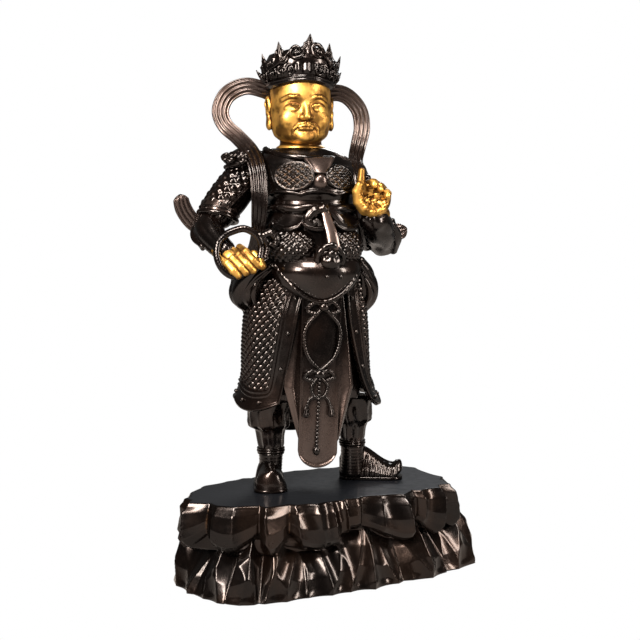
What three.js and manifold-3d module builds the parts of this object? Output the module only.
// A guardian king in armour, cast in bronze with a gilded head and hands, on a rock plinth.
// Millimetres, +Z up. The figure faces -Y and its left hand is towards +X. The origin is the
// middle of the ground that the plinth covers.
import * as THREE from 'three';
import Module from 'manifold-3d';
import { mergeVertices } from 'three/addons/utils/BufferGeometryUtils.js';

const wasm = await Module();
wasm.setup();

// Plinth
const PLINTH_HEIGHT = 85;
const FOOT = { length: 310, width: 146, middle: 6, leftRound: 0.6, rightRound: 0.7 };
const TOP = { length: 264, width: 140, middle: -12, leftRound: 1, rightRound: 0.45 };
const CORNER_CUT = 8;
const LEDGE_HEIGHT = 45;
const LEDGE_SWING = 16;
const LEDGE_OVERHANG = 5;
const LEDGE_STEP = 2;
const FOOT_SPREAD = 22;
const PLINTH_TURN = 16;
const GROOVES = [15, 45, 78, 110, 140, 168, 198, 230, 243.5, 270.5, 287, 316, 345];
const FACETS_PER_LOBE = 3;
const CORNER_DIRECTION = 197;
const CORNER_SPREAD = 15;
const LOBE_DEPTH = 9;
const FACET_DEPTH = 3.5;
const EDGE_ROUND = 3;

// Figure
const FIGURE_HEIGHT = 428;
// Its place on the rock, as shares of the top's length and width
const FIGURE_SPOT = [-0.0606 * TOP.length, 0.021 * TOP.width];
const SEAT_GAP = 0.3;
const SOLE_THICKNESS = 3;
const PLATE_THICKNESS = 3.4;
const BORDER_WIDTH = 15;
const FOOT_BORDER_WIDTH = 19;
const BORDER_RISE = 1.8;
const STUD_DIAMETER = 4;
const BREAST_DISC_DIAMETER = 36;
const SCARF_WIDTH = 16.5;
const SCARF_THICKNESS = 5.5;
const SCARF_GROOVE = 1.4;
const SNAKE_DIAMETER = 7;
const CORD_DIAMETER = 3.2;
const FINGER_DIAMETER = 8.4;
const LEAF_THICKNESS = 5;

// How far the joined skin may move where spare triangles are taken out of it
const SKIN_TOLERANCE = 0.38;

// The figure's own forms keep their places as shares of its height: one unit is a millimetre
// on a figure 428 mm tall.
const UNIT = FIGURE_HEIGHT / 428;
const HEAD = { x: -9, y: -3, chin: 329, faceHeight: 51, crownHeight: 48, faceFront: -33 };
const STANCE = { hem: 78, rightLeg: [-38, 4], leftLeg: [46, 12] };
const at = (x, y, z) => new THREE.Vector3(x, y, z).multiplyScalar(UNIT);
const mix = (a, b, t) => a + (b - a) * t;
const radians = THREE.MathUtils.degToRad;

// A closed body from its corners and triangles, turned so that its faces look out.
function solid(corners, triangles) {
  let volume = 0;
  for (const [a, b, c] of triangles) {
    volume += corners[a].dot(new THREE.Vector3().crossVectors(corners[b], corners[c]));
  }
  const faces = volume < 0 ? triangles.map(([a, b, c]) => [a, c, b]) : triangles;
  return new wasm.Manifold(new wasm.Mesh({
    numProp: 3,
    vertProperties: new Float32Array(corners.flatMap((p) => p.toArray())),
    triVerts: new Uint32Array(faces.flat()),
  }));
}

// A three.js geometry as a closed body.
function solidOf(geometry, matrix) {
  const bare = geometry.clone();
  bare.deleteAttribute('normal');
  bare.deleteAttribute('uv');
  const merged = mergeVertices(bare, 1e-4);
  if (matrix) merged.applyMatrix4(matrix);
  const place = merged.getAttribute('position');
  const corners = Array.from({ length: place.count },
    (_, i) => new THREE.Vector3().fromBufferAttribute(place, i));
  const index = Array.from(merged.getIndex().array);
  const triangles = [];
  for (let i = 0; i < index.length; i += 3) {
    const [a, b, c] = index.slice(i, i + 3);
    if (a !== b && b !== c && a !== c) triangles.push([a, b, c]);
  }
  return solid(corners, triangles);
}

// A skin through rings of equally many points, closed by a fan at each end.
function loft(rings) {
  const sides = rings[0].length;
  const corners = rings.flat();
  const triangles = [];
  for (let row = 0; row < rings.length - 1; row += 1) {
    for (let i = 0; i < sides; i += 1) {
      const a = row * sides + i;
      const b = row * sides + (i + 1) % sides;
      triangles.push([a, b, b + sides], [a, b + sides, a + sides]);
    }
  }
  const ends = [0, rings.length - 1];
  for (const row of ends) {
    const middle = rings[row].reduce((sum, p) => sum.add(p), new THREE.Vector3()).divideScalar(sides);
    const tip = corners.push(middle) - 1;
    for (let i = 0; i < sides; i += 1) {
      const edge = [row * sides + i, row * sides + (i + 1) % sides];
      triangles.push(row === 0 ? [tip, edge[1], edge[0]] : [tip, edge[0], edge[1]]);
    }
  }
  return solid(corners, triangles);
}

// A level ring: a rounded oval about (cx, cy), with angle 0 at the front and growing towards +X.
function ring([z, cx, cy, rx, ry], sides, ripple = () => 0, squareness = 2.2) {
  return Array.from({ length: sides }, (_, i) => {
    const angle = (i / sides) * 2 * Math.PI;
    const s = Math.sin(angle);
    const c = Math.cos(angle);
    const reach = (Math.abs(s) ** squareness + Math.abs(c) ** squareness) ** (-1 / squareness);
    const grow = ripple(angle, z);
    return at(cx + (rx + grow) * reach * s, cy - (ry + grow) * reach * c, z);
  });
}

function body(rows, sides, ripple, squareness) {
  return loft(rows.map((row) => ring(row, sides, ripple, squareness)));
}

// A spot on such a body, by degrees round from the front, height and distance off the surface.
function spotOn(rows, degrees, z, out = 0) {
  const above = Math.max(1, rows.findIndex((row) => row[0] >= z));
  const [low, high] = [rows[above - 1], rows[above]];
  const t = (z - low[0]) / (high[0] - low[0]);
  const [cx, cy, rx, ry] = [1, 2, 3, 4].map((k) => mix(low[k], high[k], t));
  const angle = radians(degrees);
  return [cx + (rx + out) * Math.sin(angle), cy - (ry + out) * Math.cos(angle), z];
}

// A round limb through [x, y, z, radius] stations, with rounded ends.
function limb(stations, { sides = 6, steps = 5, flat = 1, flatAlong = null } = {}) {
  const curve = new THREE.CatmullRomCurve3(stations.map(([x, y, z]) => at(x, y, z)));
  const frames = curve.computeFrenetFrames(steps, false);
  const radiusAt = (t) => {
    const place = t * (stations.length - 1);
    const i = Math.min(Math.floor(place), stations.length - 2);
    return mix(stations[i][3], stations[i + 1][3], place - i) * UNIT;
  };
  const section = (step, t, radius, push) => {
    const middle = curve.getPoint(t).addScaledVector(frames.tangents[step], push);
    let across = frames.normals[step];
    let up = frames.binormals[step];
    if (flatAlong) {
      up = new THREE.Vector3(...flatAlong).projectOnPlane(frames.tangents[step]).normalize();
      across = new THREE.Vector3().crossVectors(up, frames.tangents[step]);
    }
    return Array.from({ length: sides }, (_, i) => {
      const angle = (i / sides) * 2 * Math.PI;
      return middle.clone().addScaledVector(across, radius * Math.cos(angle))
        .addScaledVector(up, radius * flat * Math.sin(angle));
    });
  };
  const rings = [];
  const first = radiusAt(0);
  const last = radiusAt(1);
  rings.push(section(0, 0, first * 0.55, -first * 0.8));
  for (let step = 0; step <= steps; step += 1) {
    rings.push(section(step, step / steps, radiusAt(step / steps), 0));
  }
  rings.push(section(steps, 1, last * 0.55, last * 0.8));
  return loft(rings);
}

// A rounded lump: an ellipsoid, turned by degrees about X, Y and Z.
function lump([x, y, z], [rx, ry, rz], turn = [0, 0, 0], across = 9, down = 6) {
  const matrix = new THREE.Matrix4().compose(
    at(x, y, z),
    new THREE.Quaternion().setFromEuler(new THREE.Euler(...turn.map(radians))),
    at(rx, ry, rz),
  );
  return solidOf(new THREE.SphereGeometry(1, across, down).rotateX(Math.PI / 2), matrix);
}

// A plate of even thickness whose outer face is surface(u, v), both from 0 to 1.
function plate(surface, nu, nv, thickness = PLATE_THICKNESS) {
  const step = 1e-3;
  const corners = [];
  for (const depth of [0, thickness]) {
    for (let j = 0; j <= nv; j += 1) {
      for (let i = 0; i <= nu; i += 1) {
        const [u, v] = [mix(step, 1 - step, i / nu), mix(step, 1 - step, j / nv)];
        const alongU = surface(u + step, v).sub(surface(u - step, v));
        const alongV = surface(u, v + step).sub(surface(u, v - step));
        const out = new THREE.Vector3().crossVectors(alongV, alongU).normalize();
        corners.push(surface(i / nu, j / nv).addScaledVector(out, -depth));
      }
    }
  }
  const wide = nu + 1;
  const face = wide * (nv + 1);
  const triangles = [];
  for (let j = 0; j < nv; j += 1) {
    for (let i = 0; i < nu; i += 1) {
      const a = j * wide + i;
      triangles.push([a, a + wide, a + wide + 1], [a, a + wide + 1, a + 1]);
      triangles.push([face + a, face + a + wide + 1, face + a + wide]);
      triangles.push([face + a, face + a + 1, face + a + wide + 1]);
    }
  }
  const wall = (a, b) => triangles.push([a, b, face + b], [a, face + b, face + a]);
  for (let i = 0; i < nu; i += 1) {
    wall(i, i + 1);
    wall(nv * wide + i + 1, nv * wide + i);
  }
  for (let j = 0; j < nv; j += 1) {
    wall((j + 1) * wide, j * wide);
    wall(j * wide + nu, (j + 1) * wide + nu);
  }
  return solid(corners, triangles);
}

// A grooved band through [x, y, z] stations, its broad face looking along each station's normal.
function band(stations, normals, widths, steps) {
  const curve = new THREE.CatmullRomCurve3(stations.map(([x, y, z]) => at(x, y, z)), false, 'centripetal');
  const facing = new THREE.CatmullRomCurve3(normals.map((n) => new THREE.Vector3(...n)));
  const across = [-0.5, -0.24, 0, 0.24, 0.5];
  const rings = [];
  for (let step = 0; step <= steps; step += 1) {
    const t = step / steps;
    const middle = curve.getPoint(t);
    const tangent = curve.getTangent(t);
    const normal = facing.getPoint(t).projectOnPlane(tangent).normalize();
    const side = new THREE.Vector3().crossVectors(tangent, normal);
    const place = t * (widths.length - 1);
    const i = Math.min(Math.floor(place), widths.length - 2);
    const width = SCARF_WIDTH * mix(widths[i], widths[i + 1], place - i);
    const front = across.map((share, k) => middle.clone().addScaledVector(side, share * width)
      .addScaledVector(normal, SCARF_THICKNESS / 2 - (k % 2 ? SCARF_GROOVE : 0)));
    const back = [0.5, -0.5].map((share) => middle.clone().addScaledVector(side, share * width)
      .addScaledVector(normal, -SCARF_THICKNESS / 2));
    rings.push([...front, ...back]);
  }
  return loft(rings);
}

// A pointed crown leaf from its foot to its tip.
function leaf(foot, tip, width) {
  const start = at(...foot);
  const end = at(...tip);
  const rise = end.clone().sub(start);
  const outward = new THREE.Vector3(foot[0] - HEAD.x, foot[1] - HEAD.y, 0).projectOnPlane(rise).normalize();
  const side = new THREE.Vector3().crossVectors(rise, outward).normalize();
  const shape = [[0, 0.8], [0.35, 1], [0.7, 0.5], [1, 0.04]];
  return loft(shape.map(([t, share]) => {
    const middle = start.clone().addScaledVector(rise, t);
    const half = (width / 2) * share * UNIT;
    const thick = (LEAF_THICKNESS / 2) * share;
    return [
      middle.clone().addScaledVector(side, half),
      middle.clone().addScaledVector(outward, thick),
      middle.clone().addScaledVector(side, -half),
      middle.clone().addScaledVector(outward, -thick),
    ];
  }));
}

function joined(parts) {
  return parts.reduce((whole, part) => whole.add(part));
}

// Head and neck, about the head's axis
function head() {
  const { x, y, chin, faceHeight, faceFront } = HEAD;
  const band = chin + faceHeight;
  const brow = mix(chin, band, 0.855);
  const skull = body([
    [chin - 2, x, y - 9, 9, 11],
    [chin + 2, x, y - 5, 19, 21],
    [chin + 8, x, y - 2, 25.5, 27],
    [mix(chin, band, 0.41), x, y, 28.5, 29.5],
    [mix(chin, band, 0.78), x, y, 29, 30],
    [band + 8, x, y, 27, 28],
  ], 16);
  const neck = body([
    [316, -7, 1, 24, 23],
    [chin - 4, -8, 0, 23.5, 22.5],
    [chin - 1, -8, 0, 20, 20],
    [chin + 11, -8, 0, 19, 19],
  ], 12);
  const eyeLevel = mix(chin, band, 0.66);
  const noseLevel = mix(chin, band, 0.415);
  const mouthLevel = mix(chin, band, 0.27);
  const features = [
    limb([[x, faceFront + 2, eyeLevel + 3, 2.2], [x, faceFront - 3, noseLevel + 1, 4]],
      { sides: 5, steps: 2 }),
    limb([[x - 8, faceFront + 4.5, mouthLevel, 1], [x, faceFront + 1.5, mouthLevel + 0.5, 2.6],
      [x + 8, faceFront + 4.5, mouthLevel, 1]], { sides: 4, steps: 2 }),
    lump([x, faceFront + 6, chin + 3], [7, 6, 5], [0, 0, 0], 6, 4),
  ];
  for (const side of [-1, 1]) {
    features.push(
      lump([x + side * 11, faceFront + 4.5, eyeLevel], [6, 3.5, 3], [0, 0, side * 20], 6, 4),
      limb([[x + side * 3, faceFront + 1, brow - 2, 1.4], [x + side * 11, faceFront + 2.5, brow + 1, 1.6],
        [x + side * 19, faceFront + 8, brow - 1, 1.2]], { sides: 4, steps: 2 }),
      limb([[x + side * 28.5, y + 3, eyeLevel + 8, 3.4], [x + side * 31, y + 3, eyeLevel + 3, 3.6],
        [x + side * 29, y + 1, eyeLevel - 6, 2.6], [x + side * 29, y, eyeLevel - 17, 2.8]],
      { sides: 5, steps: 4, flat: 1.6, flatAlong: [0, 1, 0] }),
    );
  }
  return [skull, neck, ...features];
}

// The crown: a ridged band, a drum with scrolls, and pointed leaves
function crown() {
  const { x, y, chin, faceHeight, crownHeight } = HEAD;
  const foot = chin + faceHeight;
  const level = (share) => foot + crownHeight * share;
  const lift = (angle) => 4 * Math.max(0, Math.cos(angle)) ** 3;
  const rows = [
    [foot - 1, 30, 30], [foot + 2, 32.5, 32.5], [level(0.13), 32, 32],
    [level(0.2), 35.5, 34], [level(0.44), 35.5, 33.5], [level(0.56), 30, 28],
  ];
  const drum = loft(rows.map(([z, rx, ry]) => Array.from({ length: 18 }, (_, i) => {
    const angle = (i / 18) * 2 * Math.PI;
    const ripple = z > level(0.15) ? 1.6 * Math.cos(6 * angle) : 0;
    return at(x + (rx + ripple) * Math.sin(angle), y - (ry + ripple) * Math.cos(angle), z + lift(angle));
  })));
  const parts = [drum];
  const around = (degrees, reach, z) => {
    const angle = radians(degrees);
    return [x + reach * Math.sin(angle), y - reach * Math.cos(angle), z];
  };
  parts.push(leaf(around(3, 30, level(0.33)), [-4, -29, level(1)], 21));
  for (const side of [-1, 1]) {
    parts.push(
      leaf(around(side * 46, 31, level(0.3)), around(side * 52, 31, level(0.855)), 16),
      leaf(around(side * 80, 32, level(0.25)), around(side * 80, 38, level(0.65)), 13),
      leaf(around(side * 100, 32, level(0.12)), around(side * 98, 42, level(0.36)), 10),
      leaf(around(side * 128, 30, level(0.25)), around(side * 128, 33, level(0.69)), 14),
    );
    for (const [degrees, share, radius] of [[24, 0.5, 7], [40, 0.26, 5.5]]) {
      const spot = around(side * degrees, 34, level(share));
      const matrix = new THREE.Matrix4().compose(
        at(...spot),
        new THREE.Quaternion().setFromEuler(new THREE.Euler(radians(90), 0, radians(side * degrees), 'ZXY')),
        at(1, 1, 1),
      );
      parts.push(solidOf(new THREE.TorusGeometry(radius, 2.2, 4, 8), matrix));
    }
  }
  parts.push(leaf(around(180, 29, level(0.25)), around(180, 31, level(0.81)), 17));
  return parts;
}

// The trunk: cuirass, belt, flounce and belly
const TRUNK = [
  [196, 1, -5, 46, 41], [222, 1, -6, 43, 43], [248, 0, -6, 41, 40],
  [263, 0, -6, 42, 38], [264.5, 0, -6, 45, 41.5], [271, 0, -6, 45, 41.5], [272.5, 0, -6, 42, 38],
  [284, -1, -5, 46, 42], [297, -3, -3, 49, 40], [309, -4, -1, 48, 33], [320, -6, 0, 37, 26],
  [324, -7, 0, 26, 23],
];

function breastDisc(centre, normal) {
  const rim = BREAST_DISC_DIAMETER / 2 / UNIT;
  const profile = [[0, -6], [rim, -6], [rim, 2], [rim - 3, 2.4], [rim - 4.5, 0.8], [0, 3.4]];
  const disc = new THREE.LatheGeometry(profile.map(([r, h]) => new THREE.Vector2(r, h)), 12);
  const axis = new THREE.Vector3(...normal).normalize();
  const turn = new THREE.Quaternion().setFromUnitVectors(new THREE.Vector3(0, 1, 0), axis);
  const matrix = new THREE.Matrix4().compose(at(...centre), turn, at(1, 1, 0.88));
  return solidOf(disc, matrix);
}

function trunk() {
  const flounceEdge = (degrees) => 250 - 3 * Math.abs(Math.cos(radians(degrees * 5.2)));
  const flounce = plate((u, v) => {
    const degrees = mix(-95, 95, u);
    return at(...spotOn(TRUNK, degrees, mix(264, flounceEdge(degrees), v), 1 + 4 * v));
  }, 12, 1);
  const parts = [
    body(TRUNK, 20),
    breastDisc([-22, -38, 296], [-0.32, -0.94, 0.05]),
    breastDisc([20, -38, 296], [0.38, -0.92, 0.05]),
    lump([1, -43, 292], [6.5, 4, 8.5], [0, 0, 0], 7, 4),
    flounce,
    lump([-21, -28, 233], [26, 29, 21]),
    lump([21, -27, 233], [24, 28, 21]),
  ];
  const cusps = [-80, -60, -38, -20, 0, 20, 38, 60, 80];
  parts.push(limb(cusps.map((degrees, i) => {
    const level = 281 + (i % 2 ? -2.5 : 2) * (i === 4 ? 1.5 : 1);
    return [...spotOn(TRUNK, degrees, level, 1.5), 1.7];
  }), { sides: 4, steps: 16 }));
  const collar = Array.from({ length: 7 }, (_, i) => {
    const angle = radians(mix(-100, 100, i / 6));
    return [-6 + 37 * Math.sin(angle), -2 - 30 * Math.cos(angle), 319 - 6 * Math.cos(angle), 3];
  });
  parts.push(limb(collar, { sides: 5, steps: 9 }));
  parts.push(
    lump([3, -50, 267], [6, 5, 5], [0, 0, 0], 6, 4),
    limb([[3, -51, 267, 3], [-6, -52, 262, 4.5], [-7, -52, 255, 2.5]], { sides: 5, steps: 3 }),
    limb([[4, -51, 266, 2], [14, -50, 259, 2.6], [20, -50, 251, 2.2]], { sides: 4, steps: 2 }),
    limb([[4, -50, 262, 3.6], [6, -52, 250, 3.6], [8, -58, 232, 4.4]], { sides: 4, steps: 2 }),
  );
  return parts;
}

// The round cover under the belly, with its rim and the beast-mask buckle over it
function bellyCover() {
  const rows = [
    [180, 1, -28, 10, 22], [184, 1, -28, 22, 28], [191, 1, -27, 33, 31.5], [200, 1, -26, 40, 34],
    [210, 1, -26, 43, 35], [217, 1, -26, 42, 32], [223, 1, -26, 38, 27],
  ];
  const rimPath = Array.from({ length: 11 }, (_, i) => {
    const x = mix(-41, 41, i / 10);
    return [x + 1, -56 + 17 * Math.abs(x / 40) ** 3.5, 182 + 0.02 * x ** 2, 2.6];
  });
  return [
    body(rows, 14),
    limb(rimPath, { sides: 5, steps: 12 }),
    lump([6, -59, 220], [9.5, 7, 7.5], [0, 0, 0], 7, 5),
    limb([[-5, -55, 219, 2.6], [-3, -58, 228, 3], [7, -59, 231, 3.2], [16, -56, 226, 3], [18, -54, 217, 2.4]],
      { sides: 5, steps: 5 }),
  ];
}

// The skirts: the body of the robe, with plates, apron and cords over it
const SKIRT = [
  [74, -1, 1, 60, 45], [104, -3, 0, 59, 45], [140, -4, -1, 58, 44],
  [168, -4, -2, 56, 43], [190, -2, -3, 51, 41], [214, 0, -4, 45, 41],
];

// One thigh plate: a large panel with a raised studded border that flares at its foot.
function tasset(side, innerTop, innerFoot, outerTop, outerFoot, flare) {
  const top = 192;
  const inner = (v) => side * mix(innerTop, innerFoot, v ** 1.5);
  const outer = (v) => side * mix(outerTop, outerFoot, v);
  const foot = (u) => STANCE.hem + 8 * (1 - Math.sin(Math.PI * Math.min(1, u * 1.6)));
  const kick = (v) => flare * Math.max(0, (v - 0.72) / 0.28) ** 2;
  const spread = (u) => 0.25 + 0.75 * Math.sin((Math.PI / 2) * Math.min(1, u * 1.7));
  const surface = (rise) => (u, v) => {
    const a = side > 0 ? u : 1 - u;
    const degrees = mix(inner(v), outer(v), a);
    return at(...spotOn(SKIRT, degrees, mix(top, foot(a), v), 2.5 + rise / UNIT + kick(v) * spread(a)));
  };
  const across = radians(outerFoot - innerFoot) * SKIRT[0][3] * UNIT;
  const sideShare = BORDER_WIDTH / across;
  const footShare = FOOT_BORDER_WIDTH / ((top - STANCE.hem) * UNIT);
  const fromInner = (u) => (side > 0 ? u * sideShare : 1 - sideShare + u * sideShare);
  const parts = [
    plate(surface(0), 6, 6),
    plate((u, v) => surface(BORDER_RISE)(fromInner(u), v), 1, 6),
    plate((u, v) => surface(BORDER_RISE)(u, 1 - footShare * (1 - v)), 6, 1),
  ];
  const studs = [[0.1, 0.15], [0.1, 0.42], [0.1, 0.7], [0.22, 0.94], [0.45, 0.94]];
  for (const [u, v] of studs) {
    const spot = surface(BORDER_RISE)(side > 0 ? u : 1 - u, v);
    parts.push(solidOf(new THREE.OctahedronGeometry(STUD_DIAMETER / 2),
      new THREE.Matrix4().makeTranslation(spot)));
  }
  return parts;
}

function skirts() {
  const pleat = (angle, z) => (z < 170 ? 1.6 * Math.cos(13 * angle) * (170 - z) / 96 : 0);
  const robeFront = plate((u, v) => {
    const half = mix(mix(24, 33, Math.min(1, v * 1.6)), 19, Math.max(0, v * 2.2 - 1.2));
    const x = mix(-half, half, u);
    const fold = 1.8 * Math.sin(u * Math.PI * 5);
    return at(x, -44 - fold * v - 3 * v, mix(186, 47 + 10 * Math.abs(u - 0.5), v));
  }, 8, 4);
  const robeBack = plate((u, v) => {
    const pleats = 1.5 * Math.cos(u * Math.PI * 9) * v;
    const [x, y, z] = spotOn(SKIRT, mix(120, 240, u), mix(190, STANCE.hem, v), 2.5 + pleats);
    return at(x, y - 14 * Math.max(0, v - 0.7), z - 32 * v);
  }, 12, 3);
  const apron = plate((u, v) => {
    const half = mix(19, 18.5, v);
    const round = Math.sqrt(Math.max(0, 1 - (2 * u - 1) ** 2));
    const x = mix(2.5, -2.5, v) + mix(-half, half, u);
    return at(x, -48 - 3.5 * round - 2 * v, mix(188, 44 - 17 * round, v));
  }, 6, 4);
  return [body(SKIRT, 24, pleat), robeFront, robeBack, apron];
}

// Cloth gathered over each hip
function hipCloth() {
  return [
    limb([[-40, -26, 218, 8], [-57, -19, 205, 13.5], [-64, -12, 189, 15], [-59, -4, 177, 9]],
      { sides: 8, steps: 5 }),
    limb([[-50, 14, 216, 9], [-60, 16, 196, 14], [-56, 20, 176, 9]], { sides: 6, steps: 3 }),
    limb([[42, -24, 216, 7], [50, -16, 201, 12], [52, -8, 186, 13.5], [50, 2, 172, 9]],
      { sides: 8, steps: 5 }),
    limb([[46, 14, 216, 9], [53, 16, 196, 13], [50, 20, 175, 9]], { sides: 6, steps: 3 }),
  ];
}

// The tied cords and beads that hang down the apron
function apronCords() {
  const radius = CORD_DIAMETER / 2 / UNIT;
  const front = -53;
  const parts = [];
  for (const side of [-1, 1]) {
    parts.push(
      limb([[3, front, 176, radius], [3 + side * 8, front - 2, 181, radius * 1.5],
        [3 + side * 14, front + 1, 174, radius]], { sides: 4, steps: 2 }),
      limb([[3 + side * 3, front, 174, radius], [1.5 + side * 17, front, 150, radius],
        [1 + side * 13, front, 130, radius], [0, front - 1, 118, radius]], { sides: 4, steps: 6 }),
      limb([[-1, front - 2, 115, radius], [-1 + side * 9, front - 2, 117, radius * 1.7],
        [-1 + side * 13, front, 111, radius]], { sides: 4, steps: 2 }),
      limb([[-1, front - 1, 113, radius], [-1 + side * 8, front - 1, 103, radius],
        [-2, front - 1, 92, radius]], { sides: 4, steps: 2 }),
      limb([[-2, front - 1, 93, radius], [-2 + side * 9, front - 1, 90, radius],
        [-2 + side * 11, front - 1, 80, radius * 1.4]], { sides: 4, steps: 2 }),
    );
  }
  parts.push(
    lump([3, front - 1, 177], [5, 4, 4], [0, 0, 0], 6, 4),
    lump([-1, front - 2, 115], [5.5, 4, 4.5], [0, 0, 0], 6, 4),
    limb([[-1, front - 1, 112, radius * 1.3], [-2, front - 1.5, 80, radius], [-4, front - 2, 46, radius]],
      { sides: 4, steps: 2 }),
    lump([-4.3, front - 2, 43], [3.4, 3.4, 4.2], [0, 0, 0], 6, 4),
  );
  return parts;
}

// A leg from the gathered trouser down to the ankle, and the boot on its flat sole
function leg(rows) {
  const gathers = (angle, z) => (z > 20 && z < 66 ? 0.9 * Math.cos(7 * angle) : 0);
  return body(rows, 14, gathers, 2);
}

function boot(heel, toe, halfWidth, instep, toeHeight, toeLift) {
  const start = new THREE.Vector2(...heel);
  const along = new THREE.Vector2(...toe).sub(start);
  const length = along.length();
  along.normalize();
  const across = new THREE.Vector2(-along.y, along.x);
  const ball = 0.8;
  const heelRound = (t) => Math.min(1, 3.2 * Math.sqrt(Math.max(t, 0.004)));
  const toeRound = (t) => Math.sqrt(Math.max(0.03, 1 - ((t - ball) / 0.205) ** 2));
  const outline = (t) => halfWidth * heelRound(t) * (t < ball ? mix(0.86, 1, t / ball) : toeRound(t));
  const stations = [0, 0.07, 0.25, 0.5, 0.75, 0.9, 1];
  const place = (t, side, z) => {
    const spot = start.clone().addScaledVector(along, t * length).addScaledVector(across, side);
    return at(spot.x, spot.y, z);
  };
  const sole = SOLE_THICKNESS / UNIT;
  const upper = loft(stations.map((t) => {
    const slope = mix(instep, toeHeight, THREE.MathUtils.smoothstep(t, 0.3, 0.85));
    const height = slope * Math.sqrt(Math.min(1, 0.35 + t * 6));
    const lift = toeLift * Math.max(0, (t - ball) / (1 - ball)) ** 2;
    const end = t > 0.95 ? 0.7 : 1;
    return Array.from({ length: 7 }, (_, i) => {
      const angle = (i / 6) * Math.PI;
      return place(t, outline(t) * 0.94 * Math.cos(angle), sole - 0.5 + lift + height * end * Math.sin(angle));
    });
  }));
  const soleRings = [0, sole].map((z) => {
    const left = stations.map((t) => place(t, outline(t) + 0.8, z));
    const right = [...stations].reverse().map((t) => place(t, -outline(t) - 0.8, z));
    return [...left, ...right];
  });
  return [upper, loft(soleRings)];
}

function legs() {
  const [rx, ry] = STANCE.rightLeg;
  const [lx, ly] = STANCE.leftLeg;
  const right = leg([
    [8, rx + 1, ry + 4, 10.5, 13], [31, rx + 1, ry + 1, 11.6, 12.8], [32, rx + 1, ry + 1, 13.2, 14.2],
    [37, rx + 1, ry + 1, 13.2, 14.2], [38, rx, ry, 12, 13], [50, rx, ry, 13.5, 15], [58, rx - 1, ry, 20, 20],
    [84, rx, ry, 21, 23],
  ]);
  const left = leg([
    [8, lx + 1, ly + 2, 12, 12], [34, lx, ly, 11, 12], [35, lx, ly, 12.8, 13.6], [40, lx, ly, 12.8, 13.6],
    [41, lx, ly, 11.6, 12.6], [52, lx, ly, 12.8, 14.5], [60, lx + 2, ly, 16, 17.5], [84, lx + 1, ly, 18, 21],
  ]);
  return [
    right, left,
    ...boot([rx + 1, ry + 19], [rx - 5, ry - 38], 15.5, 24, 18, 0),
    ...boot([lx - 11, ly + 9], [lx + 50, ly - 6], 12.5, 30, 14, 7),
  ];
}

// Right arm: cloud-edged shoulder plate, flared mail sleeve, ribbed bracer
function rightArm() {
  const cloud = [[-79, -1, 314], [-76, -13, 312], [-66, -18, 311]];
  return [
    lump([-62, 2, 314], [17.5, 19, 12], [0, -15, 0], 10, 6),
    ...cloud.map((spot) => lump(spot, [5, 5.5, 4], [0, 0, 0], 6, 3)),
    limb([[-55, 4, 306, 13], [-63, 3, 295, 17.5], [-75, 1, 279, 19], [-88, -1, 263, 18]],
      { sides: 10, steps: 4 }),
    limb([[-72, 0, 284, 14], [-88, -1, 266, 17], [-94, -2, 256, 14]], { sides: 8, steps: 3 }),
    limb([[-96, -1, 255, 14.5], [-97, -12, 247, 14.5], [-92, -24, 237, 12.5], [-85, -36, 228, 10.5]],
      { sides: 10, steps: 4 }),
    limb([[-106, 2, 252, 6.5], [-109, -6, 242, 7], [-103, -18, 233, 5.5]], { sides: 5, steps: 3 }),
  ];
}

// Left arm: shoulder plate, full sleeve bent at the elbow, forearm brought up to the front
function leftArm() {
  return [
    lump([44, 4, 303], [14, 17, 12], [0, 22, 0], 10, 6),
    lump([56, -2, 297], [4.5, 6, 4], [0, 0, 0], 6, 3),
    limb([[44, 8, 300, 15], [55, 13, 277, 17.5], [67, 16, 253, 18], [77, 13, 236, 15.5]],
      { sides: 10, steps: 4 }),
    limb([[77, 12, 236, 15.5], [71, -2, 243, 16.5], [63, -18, 250, 16.5], [56, -31, 258, 14.5]],
      { sides: 10, steps: 4 }),
    limb([[86, 8, 226, 5], [84, -6, 240, 7], [76, -18, 254, 6]], { sides: 5, steps: 3 }),
  ];
}

// Right hand: a fist with its knuckles up, closed round the snake
function fist() {
  const radius = FINGER_DIAMETER / 2 / UNIT;
  const parts = [lump([-76, -43, 221], [13, 9, 9], [0, 25, 15], 8, 5)];
  for (let k = 0; k < 4; k += 1) {
    const [x, y, z] = [-83 + 7.4 * k, -48 + 0.8 * k, 222 + 1.6 * k];
    parts.push(limb([[x, y + 4, z + 3, radius * 0.9], [x + 2, y - 5, z - 3, radius],
      [x + 5.5, y - 4, z - 12, radius * 0.95], [x + 5, y + 3, z - 14, radius * 0.8]], { sides: 5, steps: 3 }));
  }
  parts.push(limb([[-62, -40, 222, radius], [-55, -46, 217, radius], [-53, -51, 213, radius * 0.8]],
    { sides: 5, steps: 2 }));
  return parts;
}

// Left hand: raised, palm forward, fingers bent as if round a ball
function raisedHand() {
  const radius = FINGER_DIAMETER / 2 / UNIT;
  const parts = [
    lump([52, -38, 276], [18, 10, 18], [-15, 0, 0], 10, 6),
    limb([[41, -38, 268, radius * 1.2], [36, -44, 277, radius * 1.1], [38, -49, 288, radius * 0.9]],
      { sides: 5, steps: 3 }),
    limb([[43, -38, 280, radius], [39, -42, 292, radius * 0.95], [39, -42, 302, radius * 0.75]],
      { sides: 5, steps: 3 }),
  ];
  for (let k = 0; k < 3; k += 1) {
    const [x, y, z] = [50 + 7 * k, -36, 284 - 2.5 * k];
    parts.push(limb([[x, y, z - 4, radius], [x + 0.5, y - 6, z + 8, radius], [x, y - 15, z + 8, radius * 0.9],
      [x - 1, y - 20, z, radius * 0.75]], { sides: 5, steps: 3 }));
  }
  return parts;
}

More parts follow.
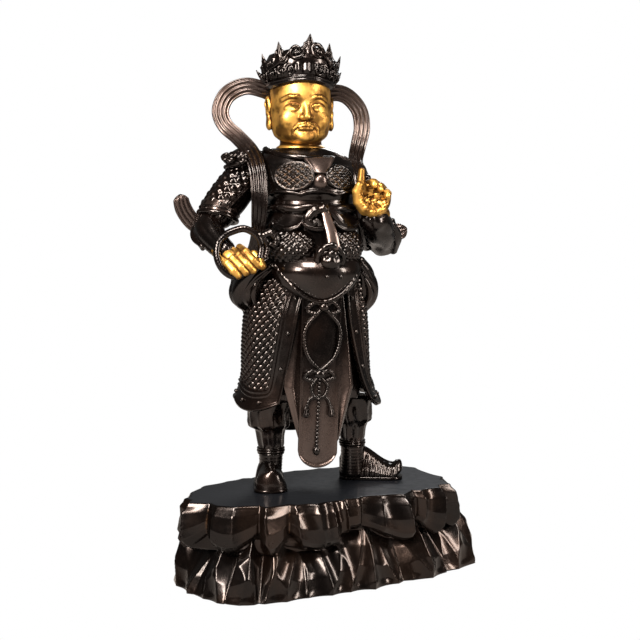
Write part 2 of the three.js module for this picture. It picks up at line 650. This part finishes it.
// The snake, in a ring about the right wrist and on to the belt
function snake() {
  const radius = SNAKE_DIAMETER / 2 / UNIT;
  const path = [[-70, -50, 206], [-81, -50, 205], [-91, -48, 212], [-94, -44, 225], [-89, -41, 237],
    [-79, -40, 248], [-67, -42, 249], [-56, -43, 242], [-50, -44, 232], [-50, -46, 222]];
  return [
    limb(path.map((spot, i) => [...spot, radius * (i < 8 ? 1 : 0.8)]), { sides: 5, steps: 14 }),
    limb([[-54, -44, 240, radius * 0.9], [-45, -46, 241, radius * 1.2], [-40, -48, 236, radius],
      [-42, -50, 226, radius * 0.6]], { sides: 5, steps: 4 }),
  ];
}

// The celestial scarf: a loop beside each side of the head, down past the armpits, ends curled up
function scarf() {
  const right = band(
    [[-28, 14, 374], [-44, 12, 381], [-60, 12, 383], [-76, 12, 375], [-83, 12, 360], [-79, 9, 346],
      [-68, 0, 334], [-58, -13, 320], [-54, -27, 303], [-53, -33, 283], [-53, -31, 262], [-54, -24, 241],
      [-60, -6, 222], [-77, 10, 225], [-97, 14, 245], [-111, 13, 256], [-119, 12, 268], [-122, 11, 281]],
    [[0, -1, 0], [0, -1, 0.1], [0, -1, 0.1], [0, -1, 0], [0, -1, 0], [0, -1, 0.1], [-0.1, -1, 0.4],
      [-0.2, -0.8, 0.7], [-0.4, -1, 0.2], [-0.4, -1, 0], [-0.6, -1, 0], [-1, -0.8, 0], [-1, -0.3, 0],
      [-0.2, -1, 0.3], [0.3, -1, 0.2], [0.3, -1, 0.1], [0.3, -1, 0], [0.3, -1, 0]],
    [0.85, 1, 1, 1, 1, 0.95, 0.95, 1, 1, 1, 0.95, 0.9, 0.85, 0.9, 1, 1.05, 1.05, 0.9],
    30,
  );
  const left = band(
    [[12, 14, 373], [26, 12, 379], [40, 12, 376], [52, 12, 363], [55, 12, 346], [51, 9, 330], [46, 0, 317],
      [43, -14, 309], [41, -27, 296], [43, -32, 280], [45, -29, 262], [49, -18, 244], [56, 4, 234],
      [70, 22, 236], [86, 25, 242], [98, 24, 246], [104, 22, 249]],
    [[0, -1, 0], [0, -1, 0.1], [0, -1, 0.1], [0, -1, 0], [0, -1, 0], [0, -1, 0.1], [0.1, -1, 0.4],
      [0.2, -0.8, 0.7], [0.4, -1, 0.2], [0.5, -1, 0], [0.6, -1, 0], [1, -0.8, 0], [1, -0.2, 0],
      [0.2, -1, 0.3], [-0.1, -1, 0.2], [-0.1, -1, 0], [-0.1, -1, 0]],
    [0.85, 1, 1, 1, 1, 0.95, 0.9, 0.9, 0.9, 0.9, 0.85, 0.85, 0.85, 0.9, 1, 1, 0.8],
    27,
  );
  return [right, left];
}

function figureSolid() {
  return joined([
    ...trunk(), ...bellyCover(), ...skirts(), ...hipCloth(),
    ...tasset(-1, 12, 32, 112, 122, 9), ...tasset(1, 34, 58, 112, 122, 10),
    ...apronCords(), ...legs(), ...rightArm(), ...leftArm(), ...fist(), ...raisedHand(), ...snake(),
    ...scarf(), ...head(), ...crown(),
  ]);
}

// The rock: an upper tier of lobes split by grooves over a lower tier that spreads to the ground.
// Each lobe has upright hollow facets with sharp ridges between them. The grooves stand at their
// degrees round the rock, and the lower tier's are half a lobe on. Each tier has its own outline, an
// oval that is squarer at one end, and the foot is cut away at one corner.
function uneven(k) {
  return Math.sin(k * 12.9898 + 4.1) * Math.sin(k * 4.217 + 1.3);
}

function rockSolid() {
  const perLobe = FACETS_PER_LOBE * 2;
  const samples = GROOVES.length * perLobe;
  const directions = Array.from({ length: samples }, (_, i) => {
    const lobe = Math.floor(i / perLobe);
    const span = (GROOVES[(lobe + 1) % GROOVES.length] - GROOVES[lobe] + 360) % 360;
    return radians(GROOVES[lobe] + span * ((i % perLobe) / perLobe));
  });
  const oval = (turn, { length, width, middle, leftRound, rightRound }) => {
    const [c, s] = [Math.cos(turn), Math.sin(turn)];
    const round = c < 0 ? leftRound : rightRound;
    return new THREE.Vector2(
      middle + (length / 2) * Math.sign(c) * Math.abs(c) ** round,
      (width / 2) * Math.sign(s) * Math.abs(s) ** round,
    );
  };
  const shape = (i, shift) => {
    const place = i / perLobe + shift;
    const inLobe = place - Math.floor(place);
    const inFacet = (inLobe * FACETS_PER_LOBE) % 1;
    const lobe = Math.sin(Math.PI * inLobe) ** 0.7 - 0.6;
    const hollow = Math.sin(Math.PI * inFacet);
    const size = 1 + 0.5 * uneven((Math.floor(place) % GROOVES.length) + shift);
    return { lobe: lobe * LOBE_DEPTH * size, hollow: hollow * FACET_DEPTH, inLobe };
  };
  const levels = [
    { z: () => 0, tier: 0, out: 0, carve: 0.35 },
    { z: (ledge) => ledge * 0.4, tier: 0, out: -0.18 * FOOT_SPREAD, carve: 0.8 },
    { z: (ledge) => ledge * 0.75, tier: 0, out: -0.55 * FOOT_SPREAD, carve: 1 },
    { z: (ledge) => ledge, tier: 0, out: -FOOT_SPREAD, carve: 0.8 },
    { z: (ledge) => ledge + LEDGE_STEP, tier: 1, out: LEDGE_OVERHANG, carve: 0.9 },
    { z: (ledge) => mix(ledge, PLINTH_HEIGHT, 0.55), tier: 1, out: 0.8 * LEDGE_OVERHANG, carve: 1 },
    { z: () => PLINTH_HEIGHT - EDGE_ROUND, tier: 1, out: EDGE_ROUND / 3, carve: 0.8 },
    { z: () => PLINTH_HEIGHT, tier: 1, out: -EDGE_ROUND, carve: 0.5 },
  ];
  const turn = radians(PLINTH_TURN);
  const rings = levels.map(({ z, tier, out, carve }) => Array.from({ length: samples }, (_, i) => {
    const upper = shape(i, 0);
    const { lobe, hollow } = tier ? upper : shape(i, 0.5);
    const ledge = LEDGE_HEIGHT + LEDGE_SWING * (0.6 - Math.sin(Math.PI * upper.inLobe));
    const angle = directions[i];
    const edge = oval(angle, tier ? TOP : FOOT);
    const fromCorner = (angle - radians(CORNER_DIRECTION)) / radians(CORNER_SPREAD);
    const cut = tier ? 0 : CORNER_CUT * Math.exp(-(fromCorner ** 2));
    const push = out - cut + (lobe - hollow) * carve;
    const spot = edge.add(new THREE.Vector2(Math.cos(angle), Math.sin(angle)).multiplyScalar(push));
    spot.rotateAround(new THREE.Vector2(), turn);
    return new THREE.Vector3(spot.x, spot.y, z(ledge));
  }));
  return loft(rings);
}

// The triangles of the outer skin: the shells that close off a hollow between joined forms are
// left out, so the casting is solid there.
function outerSkin(positions, index) {
  const parent = Array.from({ length: positions.length / 3 }, (_, i) => i);
  const root = (i) => {
    let k = i;
    while (parent[k] !== k) {
      parent[k] = parent[parent[k]];
      k = parent[k];
    }
    return k;
  };
  for (let i = 0; i < index.length; i += 3) {
    parent[root(index[i])] = root(index[i + 1]);
    parent[root(index[i + 1])] = root(index[i + 2]);
  }
  const corner = (i) => new THREE.Vector3().fromArray(positions, i * 3);
  const volumes = new Map();
  for (let i = 0; i < index.length; i += 3) {
    const [a, b, c] = [0, 1, 2].map((k) => corner(index[i + k]));
    const shell = root(index[i]);
    volumes.set(shell, (volumes.get(shell) ?? 0) + a.dot(b.cross(c)) / 6);
  }
  const kept = [];
  for (let i = 0; i < index.length; i += 3) {
    if (volumes.get(root(index[i])) > 0) kept.push(index[i], index[i + 1], index[i + 2]);
  }
  return kept;
}

// The skin again with fewer triangles: an edge closes to one corner where the surface then stays
// within the tolerance of every plane that met at its ends, and no face turns over.
function thinnedSkin(positions, index, tolerance) {
  const corners = Array.from({ length: positions.length / 3 },
    (_, i) => new THREE.Vector3().fromArray(positions, i * 3));
  const faces = [];
  for (let i = 0; i < index.length; i += 3) faces.push([index[i], index[i + 1], index[i + 2]]);
  const around = corners.map(() => new Set());
  faces.forEach((face, f) => face.forEach((corner) => around[corner].add(f)));
  const sliver = 0.02;
  const leastAgreement = 0.35;
  const crossOf = ([a, b, c], place = (k) => corners[k]) => new THREE.Vector3()
    .crossVectors(place(b).clone().sub(place(a)), place(c).clone().sub(place(a)));
  const planes = corners.map(() => []);
  for (const face of faces) {
    const cross = crossOf(face);
    if (cross.length() < sliver) continue;
    const plane = new THREE.Plane().setFromNormalAndCoplanarPoint(cross.normalize(), corners[face[0]]);
    face.forEach((corner) => planes[corner].push(plane));
  }
  const neighbours = (k) => new Set([...around[k]].flatMap((f) => faces[f]).filter((other) => other !== k));
  const turnsOver = (keep, drop, spot) => {
    const place = (k) => (k === keep || k === drop ? spot : corners[k]);
    for (const f of new Set([...around[keep], ...around[drop]])) {
      const face = faces[f];
      if (face.includes(keep) && face.includes(drop)) continue;
      const before = crossOf(face);
      const after = crossOf(face, place);
      const wasSliver = before.length() < sliver;
      if (after.length() < sliver) {
        if (!wasSliver) return true;
      } else if (wasSliver || before.normalize().dot(after.normalize()) < leastAgreement) {
        return true;
      }
    }
    return false;
  };
  let changed = true;
  while (changed) {
    changed = false;
    const choices = [];
    const seen = new Set();
    faces.forEach((face) => {
      if (!face) return;
      for (let k = 0; k < 3; k += 1) {
        const [a, b] = [face[k], face[(k + 1) % 3]];
        const key = Math.min(a, b) * corners.length + Math.max(a, b);
        if (seen.has(key)) continue;
        seen.add(key);
        const all = [...planes[a], ...planes[b]];
        for (const spot of [corners[a], corners[b], corners[a].clone().lerp(corners[b], 0.5)]) {
          const worst = all.reduce((most, plane) => Math.max(most, Math.abs(plane.distanceToPoint(spot))), 0);
          if (worst < tolerance) choices.push({ a, b, spot, worst, span: corners[a].distanceTo(corners[b]) });
        }
      }
    });
    choices.sort((m, n) => m.worst - n.worst || m.span - n.span);
    const touched = new Set();
    for (const { a, b, spot } of choices) {
      if (touched.has(a) || touched.has(b)) continue;
      const nearA = neighbours(a);
      const shared = [...neighbours(b)].filter((k) => nearA.has(k));
      if (shared.length !== 2 || turnsOver(a, b, spot)) continue;
      corners[a] = spot.clone();
      planes[a] = [...new Set([...planes[a], ...planes[b]])];
      for (const f of [...around[b]]) {
        const face = faces[f];
        if (face.includes(a)) {
          face.forEach((corner) => around[corner].delete(f));
          faces[f] = null;
        } else {
          face[face.indexOf(b)] = a;
          around[a].add(f);
        }
      }
      around[b].clear();
      [a, b, ...nearA, ...neighbours(a)].forEach((k) => touched.add(k));
      changed = true;
    }
  }
  const used = new Map();
  const spots = [];
  const kept = faces.filter(Boolean).flat().map((corner) => {
    if (!used.has(corner)) {
      used.set(corner, used.size);
      spots.push(...corners[corner].toArray());
    }
    return used.get(corner);
  });
  return { spots, kept };
}

function meshOf(name, shape, look) {
  const { numProp, vertProperties, triVerts } = shape.getMesh();
  const positions = new Float32Array((vertProperties.length / numProp) * 3);
  for (let i = 0; i < positions.length / 3; i += 1) {
    positions.set(vertProperties.subarray(i * numProp, i * numProp + 3), i * 3);
  }
  const { spots, kept } = thinnedSkin(positions, outerSkin(positions, triVerts), SKIN_TOLERANCE);
  const geometry = new THREE.BufferGeometry();
  geometry.setAttribute('position', new THREE.Float32BufferAttribute(spots, 3));
  geometry.setIndex(kept);
  geometry.computeVertexNormals();
  const mesh = new THREE.Mesh(geometry, new THREE.MeshStandardMaterial(look));
  mesh.name = name;
  return mesh;
}

const group = new THREE.Group();
const figure = meshOf('figure', figureSolid(), { color: 0x2a1d18, roughness: 0.25, metalness: 0.9 });
figure.position.set(FIGURE_SPOT[0], FIGURE_SPOT[1], PLINTH_HEIGHT + SEAT_GAP);
group.add(figure);
group.add(meshOf('rock_plinth', rockSolid(), { color: 0x241813, roughness: 0.3, metalness: 0.9 }));

// The origin is under the middle of the whole
const middle = new THREE.Box3().setFromObject(group, true).getCenter(new THREE.Vector3());
for (const piece of group.children) {
  piece.position.x -= middle.x;
  piece.position.y -= middle.y;
}

export default group;
